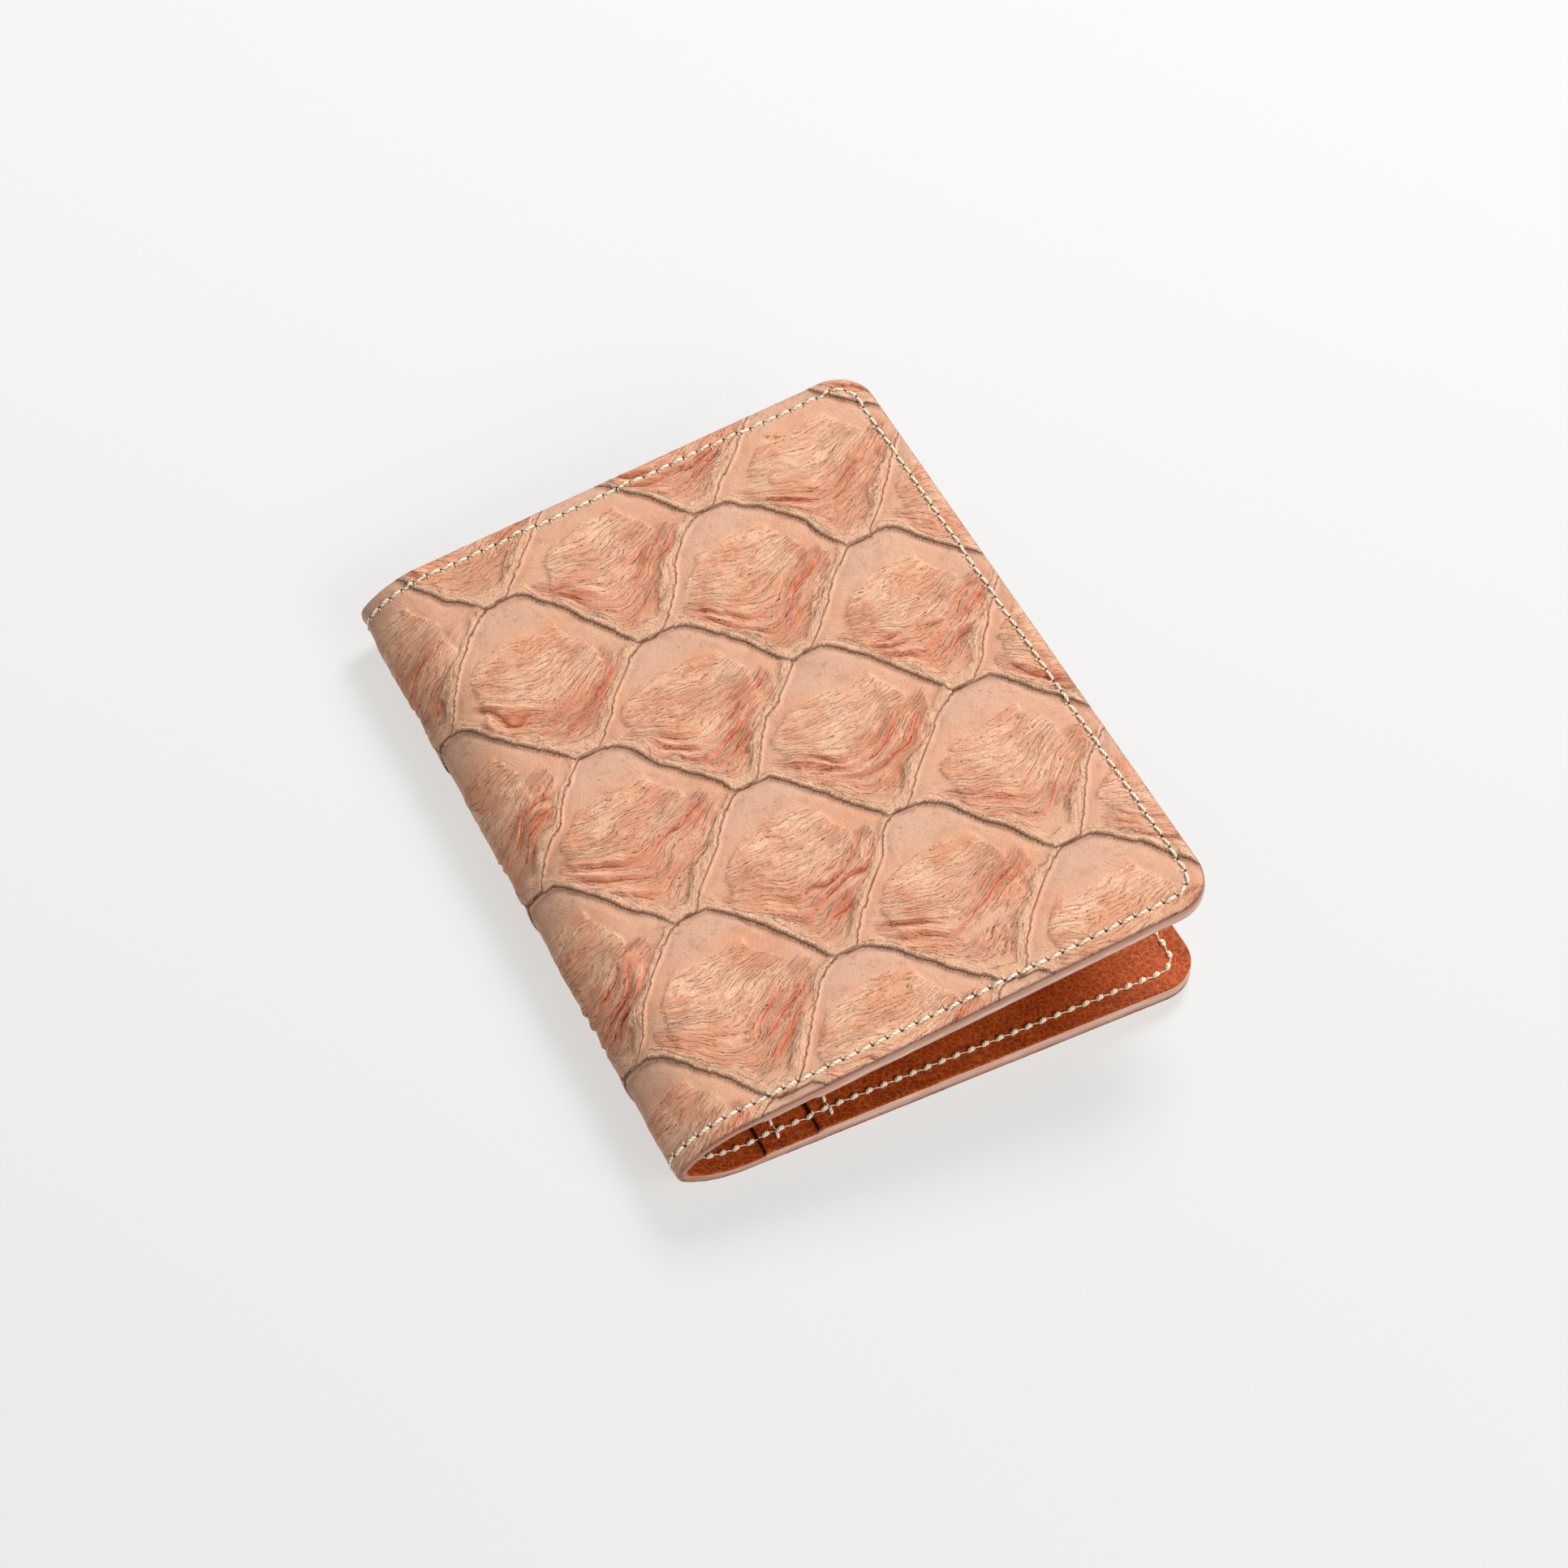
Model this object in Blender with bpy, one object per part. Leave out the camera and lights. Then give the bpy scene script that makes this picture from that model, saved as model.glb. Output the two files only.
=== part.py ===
"""Bifold wallet, lying on its back cover with the front cover a little open.

Metres, +Z up. The covers hinge along Y at a folded spine on the -X side. The origin is the middle of
the rest surface, under the centre of the closed wallet.

Every sheet follows one side profile, the wallet's outer line. A place on a sheet is given by
s, the distance along that line from the back cover's free edge; y, along the fold; and depth,
how far inside the outer line it lies.
"""

import math

import bmesh
import bpy
from mathutils import Vector

# Overall shape
HEIGHT = 0.138  # along the fold
CORNER_RADIUS = 0.0075
BACK_FLAT = 0.088  # straight part of the back cover
FRONT_FLAT = 0.0903  # straight part of the front cover
OPENING = math.radians(8)  # how far the front cover springs open by itself
SHOULDER_RADIUS = 0.020  # gentle bend on either side of the fold
SHOULDER_TURN = math.radians(36)
TIP_RADIUS = 0.0035  # tight bend at the fold itself
TIP_TURN = math.pi - OPENING - 2 * SHOULDER_TURN
TIP_CLEAR = 0.0002  # how far the fold's tip stands out past the profile's start line
BACK_REACH = 0.101  # back cover's free edge, from that start line

# Sheet thicknesses, from the outside in, and the glue line left between two sheets
OUTER = 0.0010
BOARD = 0.0004
LINING = 0.0005
POCKET = 0.00045
GLUE = 0.0002

# Card pockets: how far each mouth is from the fold
POCKET_MOUTHS = (0.017, 0.027)
BOARD_FROM_FOLD = 0.018
BOARD_INSET = 0.0045

# Stitching
STITCH_INSET = 0.0030
THREAD_WIDTH = 0.0008
THREAD_HEIGHT = 0.0003
GROOVE_WIDTH = 0.0012
GROOVE_DEPTH = 0.00055
THREAD_SUNK = 0.00005  # outer thread below the leather's face
STEP_UP = (-0.0006, -0.0003)  # start and end of the inner thread's step onto a pocket, from its mouth
HEM_FROM_MOUTH = 0.0032
HEM_END_INSET = 0.0045

# Hinge lines run on the outer face, half a turn of the spine on either side of the tip's middle
SPINE_TURN = (math.pi - OPENING) / 2
HINGE_GAP = 0.0004  # between the bodies' outer leather
LINING_HINGE_GAP = 0.0012  # between the bodies' linings, on the outer line; the bend closes it up inside
THREAD_GAP = 0.0014  # between neighbouring bodies' threads

CORNER_STEPS = 6
BEND_STEP = math.radians(14)

# Profile in order from the back cover's free edge: (length, turn), a turn of 0 being straight
SEGMENTS = (
    (BACK_FLAT, 0.0),
    (SHOULDER_RADIUS * SHOULDER_TURN, SHOULDER_TURN),
    (TIP_RADIUS * TIP_TURN, TIP_TURN),
    (SHOULDER_RADIUS * SHOULDER_TURN, SHOULDER_TURN),
    (FRONT_FLAT, 0.0),
)
PROFILE_LENGTH = sum(length for length, _ in SEGMENTS)
TIP_MIDDLE = sum(length for length, _ in SEGMENTS[:2]) + SEGMENTS[2][0] / 2
HINGE_OFFSET = TIP_RADIUS * SPINE_TURN / 2
BACK_HINGE = TIP_MIDDLE - HINGE_OFFSET
FRONT_HINGE = TIP_MIDDLE + HINGE_OFFSET

LINING_DEPTH = OUTER + GLUE + BOARD + GLUE
POCKET_DEPTHS = (
    LINING_DEPTH + LINING + GLUE,
    LINING_DEPTH + LINING + GLUE + POCKET + GLUE,
)

COLOURS = {
    "scale_leather": ((0.78, 0.48, 0.31), 0.45),
    "inner_leather": ((0.50, 0.13, 0.04), 0.5),
    "board": ((0.42, 0.33, 0.24), 0.9),
    "thread": ((0.85, 0.80, 0.68), 0.7),
}


def advance(x, z, heading, length, turn):
    """The end of a straight or round stretch that starts at x, z; heading 0 points along -X."""
    if turn == 0:
        return x - length * math.cos(heading), z + length * math.sin(heading), heading
    radius = length / turn
    end = heading + turn
    x -= radius * (math.sin(end) - math.sin(heading))
    z += radius * (math.cos(heading) - math.cos(end))
    return x, z, end


def profile(s):
    """(x, z, heading) of the outer line at s, before the origin is moved to the middle."""
    x, z, heading = BACK_REACH, 0.0, 0.0
    for length, turn in SEGMENTS:
        if s <= length:
            return advance(x, z, heading, s, turn * s / length)
        x, z, heading = advance(x, z, heading, length, turn)
        s -= length
    return advance(x, z, heading, s, 0.0)


INNER_FACE_DEPTH = POCKET_DEPTHS[1] + POCKET
X_MIDDLE = (profile(PROFILE_LENGTH)[0] + INNER_FACE_DEPTH * math.sin(OPENING) - TIP_CLEAR) / 2


def place(s, y, depth=0.0):
    """World point at s along the profile, y along the fold, and depth inside the outer line."""
    x, z, heading = profile(s)
    inward_x, inward_z = math.sin(heading), math.cos(heading)
    return Vector((x + depth * inward_x - X_MIDDLE, y, z + depth * inward_z))


class Cover:
    """Which end of the profile a cover is at. e is the distance from its free edge."""

    def __init__(self, name, edge, direction, hinge, flat):
        self.name = name
        self.flat = flat
        self.edge = edge
        self.direction = direction
        self.hinge_e = abs(hinge - edge)

    def s(self, e):
        return self.edge + self.direction * e

    def from_fold(self, distance):
        """e of a line that lies this far from the fold's tip, measured along the cover."""
        return self.flat + FOLD_TO_FLAT - distance


FOLD_TO_FLAT = BACK_REACH - BACK_FLAT + TIP_CLEAR  # from the tip to a cover's straight part
BACK = Cover("back", 0.0, 1, BACK_HINGE, BACK_FLAT)
FRONT = Cover("front", PROFILE_LENGTH, -1, FRONT_HINGE, FRONT_FLAT)


def bend_stations(start, end):
    """Values of s between start and end where the profile needs a section."""
    found = {start, end}
    reached = 0.0
    for length, turn in SEGMENTS:
        steps = max(1, math.ceil(turn / BEND_STEP))
        for i in range(steps + 1):
            s = reached + length * i / steps
            if start < s < end:
                found.add(s)
        reached += length
    return sorted(found)


def corner_stations(inset):
    """(distance in from the free edge, y drop) round a cover's corner, on an outline that far inset."""
    radius = CORNER_RADIUS - inset
    angles = [math.pi / 2 * i / CORNER_STEPS for i in range(CORNER_STEPS + 1)]
    return [(CORNER_RADIUS - radius * math.cos(a), radius * (1 - math.sin(a))) for a in angles]


def loft(sections):
    """A closed solid through loops of points that all have the same count."""
    mesh = bmesh.new()
    loops = [[mesh.verts.new(p) for p in section] for section in sections]
    count = len(loops[0])
    for here, after in zip(loops, loops[1:]):
        for i in range(count):
            k = (i + 1) % count
            mesh.faces.new((here[i], here[k], after[k], after[i]))
    mesh.faces.new(loops[0])
    mesh.faces.new(reversed(loops[-1]))
    bmesh.ops.recalc_face_normals(mesh, faces=mesh.faces)
    return mesh


def slab_section(s, half, depth, thickness):
    """Rectangle across a sheet at s, reaching half to either side of the middle."""
    return [
        place(s, -half, depth),
        place(s, half, depth),
        place(s, half, depth + thickness),
        place(s, -half, depth + thickness),
    ]


def cover_sheet(cover, far_e, depth, thickness, inset=0.0):
    """A sheet of a cover, from its rounded free edge to far_e."""
    half = HEIGHT / 2 - inset
    sections = []
    corner = corner_stations(inset)
    for e, drop in corner:
        sections.append(slab_section(cover.s(e), half - drop, depth, thickness))
    start, end = sorted((cover.s(corner[-1][0]), cover.s(far_e)))
    stations = bend_stations(start, end)
    if cover.direction < 0:
        stations.reverse()
    for s in stations[1:]:
        sections.append(slab_section(s, half, depth, thickness))
    return loft(sections)


def spine_sheet(depth, thickness, gap):
    half = HEIGHT / 2
    start, end = BACK_HINGE + gap / 2, FRONT_HINGE - gap / 2
    return loft([slab_section(s, half, depth, thickness) for s in bend_stations(start, end)])


def ribbon_section(s, y, side_s, side_y, width, depth, height):
    """Rectangle across a thread at s, y. side_s, side_y points away from the wallet's middle."""
    out_s, out_y = side_s * width / 2, side_y * width / 2
    return [
        place(s + out_s, y + out_y, depth),
        place(s - out_s, y - out_y, depth),
        place(s - out_s, y - out_y, depth + height),
        place(s + out_s, y + out_y, depth + height),
    ]


def perimeter(cover, end_gap):
    """(s, y, side_s, side_y) along a cover's stitch line: out from its hinge, round, and back to it."""
    half = HEIGHT / 2 - STITCH_INSET
    last_e = cover.hinge_e - end_gap
    corner = corner_stations(STITCH_INSET)
    start, end = sorted((cover.s(corner[-1][0]), cover.s(last_e)))
    steps = [cover.s(cover.from_fold(mouth + d)) for mouth in POCKET_MOUTHS for d in STEP_UP]
    side = sorted(bend_stations(start, end) + steps, reverse=cover.direction > 0)
    line = [(s, -half, 0.0, -1.0) for s in side]
    for i in reversed(range(CORNER_STEPS)):
        angle = math.pi / 2 * i / CORNER_STEPS
        e, drop = corner[i]
        line.append((cover.s(e), -half + drop, -cover.direction * math.cos(angle), -math.sin(angle)))
    return line + [(s, -y, side_s, -side_y) for s, y, side_s, side_y in reversed(line)]


def inner_face_depth(cover, s):
    """Depth of the innermost sheet's face at s, which changes at each pocket's mouth."""
    e = abs(s - cover.edge)
    depth = LINING_DEPTH + LINING
    for mouth, pocket_depth in zip(POCKET_MOUTHS, POCKET_DEPTHS):
        if e < cover.from_fold(mouth + sum(STEP_UP) / 2):
            depth = pocket_depth + POCKET
    return depth


def outer_perimeter_thread(cover, width, depth, height, end_gap):
    return loft([ribbon_section(*station, width, depth, height) for station in perimeter(cover, end_gap)])


def inner_perimeter_thread(cover):
    sections = []
    for s, y, side_s, side_y in perimeter(cover, THREAD_GAP / 2):
        depth = inner_face_depth(cover, s) + GLUE
        sections.append(ribbon_section(s, y, side_s, side_y, THREAD_WIDTH, depth, THREAD_HEIGHT))
    return loft(sections)


def spine_thread(side, width, depth, height, end_gap):
    """A thread round the spine, at one end of the fold. side is -1 for the near end and 1 for the far."""
    y = side * (HEIGHT / 2 - STITCH_INSET)
    stations = bend_stations(BACK_HINGE + end_gap, FRONT_HINGE - end_gap)
    return loft([ribbon_section(s, y, 0.0, side, width, depth, height) for s in stations])


def hem_thread(cover, mouth, pocket_depth):
    """The row of stitches beside a pocket's mouth, through the pocket sheet only."""
    s = cover.s(cover.from_fold(mouth + HEM_FROM_MOUTH))
    reach = HEIGHT / 2 - HEM_END_INSET
    depth = pocket_depth + POCKET + GLUE
    ends = (-reach, reach)
    return loft([ribbon_section(s, y, 1.0, 0.0, THREAD_WIDTH, depth, THREAD_HEIGHT) for y in ends])


def make_material(name):
    colour, roughness = COLOURS[name]
    material = bpy.data.materials.new(name)
    material.use_nodes = True
    shader = material.node_tree.nodes["Principled BSDF"]
    shader.inputs["Base Color"].default_value = (*colour, 1.0)
    shader.inputs["Roughness"].default_value = roughness
    shader.inputs["Metallic"].default_value = 0.0
    return material


def add_body(name, location, parent=None):
    """An empty that a body's pieces hang from, on the body's hinge line."""
    body = bpy.data.objects.new(name, None)
    bpy.context.scene.collection.objects.link(body)
    body.parent = parent
    body.location = location - (parent.location if parent else Vector())
    return body


def add_piece(name, mesh, material, body, origin):
    """Links a solid whose object origin is the body's hinge line."""
    bmesh.ops.translate(mesh, verts=mesh.verts, vec=-origin)
    data = bpy.data.meshes.new(name)
    mesh.to_mesh(data)
    mesh.free()
    piece = bpy.data.objects.new(name, data)
    bpy.context.scene.collection.objects.link(piece)
    piece.parent = body
    if material:
        data.materials.append(material)
    data.shade_smooth()
    data.set_sharp_from_angle(angle=math.radians(35))
    return piece


def cut(piece, cutter):
    """Sinks a groove the shape of the cutter into the piece."""
    cutter.hide_render = True
    cutter.display_type = "WIRE"
    boolean = piece.modifiers.new("stitch_groove", "BOOLEAN")
    boolean.operation = "DIFFERENCE"
    boolean.solver = "EXACT"
    boolean.object = cutter


def build_cover(cover, materials, body, origin):
    name = cover.name
    leather_end = cover.hinge_e - HINGE_GAP / 2
    lining_end = cover.hinge_e - LINING_HINGE_GAP / 2
    overshoot = OUTER / 4

    def add(label, mesh, slot):
        return add_piece(f"{name}_{label}", mesh, materials.get(slot), body, origin)

    leather = add("outer_leather", cover_sheet(cover, leather_end, 0.0, OUTER), "scale_leather")
    groove = outer_perimeter_thread(
        cover, GROOVE_WIDTH, -overshoot, GROOVE_DEPTH + overshoot, end_gap=-HINGE_GAP
    )
    cut(leather, add("groove_cutter", groove, None))
    board_end = cover.from_fold(BOARD_FROM_FOLD)
    add("stiffener", cover_sheet(cover, board_end, OUTER + GLUE, BOARD, BOARD_INSET), "board")
    add("lining", cover_sheet(cover, lining_end, LINING_DEPTH, LINING), "inner_leather")
    thread = outer_perimeter_thread(cover, THREAD_WIDTH, THREAD_SUNK, THREAD_HEIGHT, THREAD_GAP / 2)
    add("stitching_outside", thread, "thread")
    add("stitching_inside", inner_perimeter_thread(cover), "thread")
    for number, (mouth, depth) in enumerate(zip(POCKET_MOUTHS, POCKET_DEPTHS), 1):
        sheet = cover_sheet(cover, cover.from_fold(mouth), depth, POCKET)
        add(f"pocket_{number}", sheet, "inner_leather")
        add(f"pocket_{number}_hem_stitching", hem_thread(cover, mouth, depth), "thread")


def build_spine(materials, body, origin):
    def add(label, mesh, slot):
        return add_piece(f"spine_{label}", mesh, materials.get(slot), body, origin)

    leather = add("outer_leather", spine_sheet(0.0, OUTER, HINGE_GAP), "scale_leather")
    add("lining", spine_sheet(LINING_DEPTH, LINING, LINING_HINGE_GAP), "inner_leather")
    overshoot = OUTER / 4
    for end, side in (("near", -1), ("far", 1)):
        groove = spine_thread(side, GROOVE_WIDTH, -overshoot, GROOVE_DEPTH + overshoot, -HINGE_GAP)
        cut(leather, add(f"{end}_groove_cutter", groove, None))
        outside = spine_thread(side, THREAD_WIDTH, THREAD_SUNK, THREAD_HEIGHT, THREAD_GAP / 2)
        inside_depth = LINING_DEPTH + LINING + GLUE
        inside = spine_thread(side, THREAD_WIDTH, inside_depth, THREAD_HEIGHT, THREAD_GAP / 2)
        add(f"{end}_stitching_outside", outside, "thread")
        add(f"{end}_stitching_inside", inside, "thread")


def main():
    for thing in list(bpy.data.objects):
        bpy.data.objects.remove(thing, do_unlink=True)
    materials = {name: make_material(name) for name in COLOURS}
    back_hinge = place(BACK_HINGE, 0.0)
    front_hinge = place(FRONT_HINGE, 0.0)
    back_body = add_body("back_body", Vector())
    spine_body = add_body("spine_body", back_hinge, back_body)
    front_body = add_body("front_body", front_hinge, spine_body)
    build_cover(BACK, materials, back_body, Vector())
    build_spine(materials, spine_body, back_hinge)
    build_cover(FRONT, materials, front_body, front_hinge)


main()
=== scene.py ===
"""Looks of the bifold wallet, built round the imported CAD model.

Lengths here are millimetres until place() turns them into the frame's metres. Every sheet follows
the CAD part's side profile: s runs along the wallet's outer line from the back cover's free edge, y
runs along the fold from its near end, and depth is how far inside the outer line a point lies. e is
the distance in from a cover's free edge, and t the distance from the middle of the fold, which is
negative on the back cover.
"""

import math
from collections import namedtuple

import bpy
import numpy as np
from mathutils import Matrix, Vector


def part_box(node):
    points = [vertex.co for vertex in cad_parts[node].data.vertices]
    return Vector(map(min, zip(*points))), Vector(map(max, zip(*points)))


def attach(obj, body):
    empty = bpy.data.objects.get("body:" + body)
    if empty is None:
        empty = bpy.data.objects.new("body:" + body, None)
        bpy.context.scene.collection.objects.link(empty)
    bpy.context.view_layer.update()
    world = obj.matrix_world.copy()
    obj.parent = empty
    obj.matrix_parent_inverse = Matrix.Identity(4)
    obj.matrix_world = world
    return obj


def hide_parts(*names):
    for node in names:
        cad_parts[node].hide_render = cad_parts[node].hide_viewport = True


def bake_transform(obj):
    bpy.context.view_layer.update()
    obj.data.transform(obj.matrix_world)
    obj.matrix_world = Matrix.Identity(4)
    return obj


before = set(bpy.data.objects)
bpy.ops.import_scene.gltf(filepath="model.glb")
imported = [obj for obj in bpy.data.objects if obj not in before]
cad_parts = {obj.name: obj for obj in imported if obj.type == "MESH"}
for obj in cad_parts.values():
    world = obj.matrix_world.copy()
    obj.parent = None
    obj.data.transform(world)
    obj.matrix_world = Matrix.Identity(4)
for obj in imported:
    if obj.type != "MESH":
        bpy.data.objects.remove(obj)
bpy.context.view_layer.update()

CAMERA_ELEVATION = math.radians(50.76)
CAMERA_AZIMUTH = math.radians(-25.96)
CAMERA_DISTANCE = 0.7493
CAMERA_LENS = 95.55
CAMERA_TARGET = Vector((0.00436, 0.00369, 0.0))

# Shape of the CAD part
HEIGHT = 138.0
CORNER_RADIUS = 7.5
BACK_REACH = 101.0
OPENING = math.radians(8)
SHOULDER_RADIUS = 20.0
SHOULDER_TURN = math.radians(36)
TIP_RADIUS = 3.5
TIP_TURN = math.pi - OPENING - 2 * SHOULDER_TURN
BACK_FLAT = 88.0
FRONT_FLAT = 90.3
SEGMENTS = (  # (length, bend radius) from the back cover's free edge, a radius of 0 being straight
    (BACK_FLAT, 0.0),
    (SHOULDER_RADIUS * SHOULDER_TURN, SHOULDER_RADIUS),
    (TIP_RADIUS * TIP_TURN, TIP_RADIUS),
    (SHOULDER_RADIUS * SHOULDER_TURN, SHOULDER_RADIUS),
    (FRONT_FLAT, 0.0),
)
PROFILE_LENGTH = sum(length for length, _ in SEGMENTS)
TIP_MIDDLE = BACK_FLAT + SEGMENTS[1][0] + SEGMENTS[2][0] / 2
HINGE_OFFSET = TIP_RADIUS * (math.pi - OPENING) / 4
X_MIDDLE = BACK_REACH - 1000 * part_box("back_outer_leather")[1].x
TIP_TO_FLAT = BACK_REACH - BACK_FLAT + 0.2

# Depths of the sheets' faces
SKIN_DEPTH = 0.55  # the scale leather's middle surface; its ridges stand out to the outer line
SKIN_BACK = 1.25
LINING_BACK = 1.8
LINING_FACE = 2.4
POCKET_FACES = (2.98, 3.62)
POCKET_THICKNESS = 0.45
POCKET_MOUTHS = (17.0, 27.0)

# Stitching
STITCH_PITCH = 2.77
OUTSIDE_INSET = 2.9
INSIDE_INSET = 3.7
HEM_FROM_MOUTH = 3.2


# ---- Places on the side profile ----


def advance(x, z, heading, run, radius):
    """The end of a straight or round stretch that starts at x, z; heading 0 points along -X."""
    if radius == 0:
        return x - run * np.cos(heading), z + run * np.sin(heading), heading + 0 * run
    end = heading + run / radius
    x = x - radius * (np.sin(end) - np.sin(heading))
    z = z + radius * (np.cos(heading) - np.cos(end))
    return x, z, end


def profile(s):
    """(x, z, heading) of the outer line at the distances s."""
    s = np.asarray(s, float)
    found = np.zeros((3,) + s.shape)
    x, z, heading, reached = BACK_REACH, 0.0, 0.0, 0.0
    for length, radius in SEGMENTS:
        from_here = s >= reached - 1e-9 if reached else np.full(s.shape, True)
        found[:, from_here] = advance(x, z, heading, s[from_here] - reached, radius)
        x, z, heading = advance(x, z, heading, length, radius)
        reached += length
    return found


def place(s, y, depth):
    """Frame coordinates, in metres, of the points at s, y and depth."""
    s, y, depth = np.broadcast_arrays(s, y, depth)
    x, z, heading = profile(s)
    x = x + depth * np.sin(heading) - X_MIDDLE
    z = z + depth * np.cos(heading)
    return np.stack([x, y - HEIGHT / 2, z], axis=-1) / 1000


class Cover:
    """One cover with its half of the spine, from the free edge at e = 0 to the middle of the fold."""

    def __init__(self, name, edge, direction, flat):
        self.name = name
        self.edge = edge
        self.direction = direction
        self.flat = flat
        self.length = abs(TIP_MIDDLE - edge)
        self.bodies = (name + "_cover", "spine")
        if direction < 0:
            self.bodies = ("spine", name + "_cover")

    def s(self, e):
        return self.edge + self.direction * e

    def from_fold(self, distance):
        """e of a line this far from the fold's tip, measured along the cover."""
        return self.flat + TIP_TO_FLAT - distance

    def blend(self, piece):
        """Bakes a piece's placement into its points. The cover's hinge is found but not used, so the
        piece does not bend with the cover.
        """
        hinge = TIP_MIDDLE - self.direction * HINGE_OFFSET
        _, _, heading = profile(hinge)
        centre = Vector(place(hinge, HEIGHT / 2, 0.0))
        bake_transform(piece)

    def ride(self, piece):
        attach(piece, self.name + "_cover")


BACK = Cover("back", 0.0, 1, BACK_FLAT)
FRONT = Cover("front", PROFILE_LENGTH, -1, FRONT_FLAT)
COVERS = (BACK, FRONT)


def roll(distance, radius):
    """How far a rounded edge or corner has fallen away at a distance inside the outline."""
    inside = np.clip(radius - distance, 0.0, radius)
    return radius - np.sqrt(radius**2 - inside**2)


def end_distance(e, y):
    """(distance from the nearer end along the fold, whether the point is in a corner's square)."""
    side = np.minimum(y, HEIGHT - y)
    return side, (e < CORNER_RADIUS) & (side < CORNER_RADIUS)


def rim_distance(e, y):
    """How far inside the cover's outline a point is."""
    side, in_corner = end_distance(e, y)
    corner = CORNER_RADIUS - np.hypot(CORNER_RADIUS - e, CORNER_RADIUS - side)
    return np.where(in_corner, corner, np.minimum(e, side))


def seam_run(cover, e, y, inset):
    """Distance along the stitch line, from the near end of the fold, of the place nearest to e, y."""
    radius = CORNER_RADIUS - inset
    straight = cover.length - CORNER_RADIUS
    quarter = radius * math.pi / 2
    side, in_corner = end_distance(e, y)
    from_centre = [np.clip(CORNER_RADIUS - distance, 1e-6, None) for distance in (e, side)]
    half = np.where(
        in_corner,
        straight + radius * np.arctan2(*from_centre),
        np.where(e < side, straight + quarter + side - CORNER_RADIUS, cover.length - e),
    )
    return np.where(y < HEIGHT / 2, half, seam_length(cover, inset) - half)


def seam_length(cover, inset):
    """Length of a cover's stitch line, from the near end of the fold round to the far end."""
    sides = 2 * (cover.length - CORNER_RADIUS)
    corners = math.pi * (CORNER_RADIUS - inset)
    return sides + corners + HEIGHT - 2 * CORNER_RADIUS


def spread_stitches(length):
    """(pitch, starts) of the stitches that divide a length evenly."""
    count = round(length / STITCH_PITCH)
    return length / count, np.arange(count) * (length / count)


def seam_point(cover, run, inset):
    """(e, y, outward e, outward y) at a distance along the stitch line."""
    radius = CORNER_RADIUS - inset
    straight = cover.length - CORNER_RADIUS
    quarter = radius * math.pi / 2
    total = seam_length(cover, inset)
    far = run > total / 2
    run = np.where(far, total - run, run)
    angle = np.clip((run - straight) / radius, 0.0, math.pi / 2)
    e = CORNER_RADIUS - radius * np.sin(angle) + np.clip(straight - run, 0.0, None)
    y = CORNER_RADIUS - radius * np.cos(angle) + np.clip(run - straight - quarter, 0.0, None)
    out_e, out_y = -np.sin(angle), -np.cos(angle)
    return e, np.where(far, HEIGHT - y, y), out_e, np.where(far, -out_y, out_y)


# ---- Smooth steps and noise ----


def smooth(x, start, end):
    """0 at start, 1 at end and level beyond them."""
    f = np.clip((x - start) / (end - start), 0.0, 1.0)
    return f * f * (3.0 - 2.0 * f)


NOISE_SIZE = 512


def noise(x, y, seed):
    """Smooth random values from -1 to 1, with one draw for each unit of x and y."""
    table = np.random.default_rng(seed).uniform(-1.0, 1.0, (NOISE_SIZE, NOISE_SIZE))
    left = np.floor(x).astype(int)
    low = np.floor(y).astype(int)
    u = smooth(x - left, 0.0, 1.0)
    v = smooth(y - low, 0.0, 1.0)

    def corner(i, j):
        return table[(left + i) % NOISE_SIZE, (low + j) % NOISE_SIZE]

    lower = corner(0, 0) * (1 - u) + corner(1, 0) * u
    upper = corner(0, 1) * (1 - u) + corner(1, 1) * u
    return lower * (1 - v) + upper * v


# ---- The large scales of the outer leather ----

COLUMN_STEP = 21.4
ROW_STEP = 39.7
FIRST_COLUMN = 4.6  # t of the middle of an even column
EVEN_TOP = 21.2  # y of a scale's top in an even column
ODD_TOP = 2.6
ARCH_ABOVE = 0.3  # how far a scale's upper edge ends above the next column's tops
ARCH_FLAT = 2.2  # half width of the level part at the top
ARCH_LEFT = 18.2
ARCH_RIGHT = 15.7
ARCH_BEND = 0.2  # how gently the level part turns down, as a share of the run
UNEVENNESS = ((0.9, 14.0), (0.55, 5.0), (0.17, 1.7))  # (shift, its length) of the pattern's wobble
RIDGE_HEIGHT = 0.27
FAN_HEIGHT = 0.20
TERRACE_HEIGHT = 0.66
TERRACE_PITCH = 3.5


def arch(across, drop):
    """(height, slope, share) of a scale's upper edge, which falls by drop on either side of its top.

    share is how far along its fall a point is.
    """
    run = np.where(across < 0, ARCH_LEFT, ARCH_RIGHT)
    share = np.clip((np.abs(across) - ARCH_FLAT) / run, 0.0, 1.0)
    bent = np.sqrt(share**2 + ARCH_BEND**2)
    whole = math.sqrt(1.0 + ARCH_BEND**2) - ARCH_BEND
    slope = drop / run * share / bent / whole * smooth(share, 1.0, 0.8)
    return -drop * (bent - ARCH_BEND) / whole, slope, share


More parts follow.
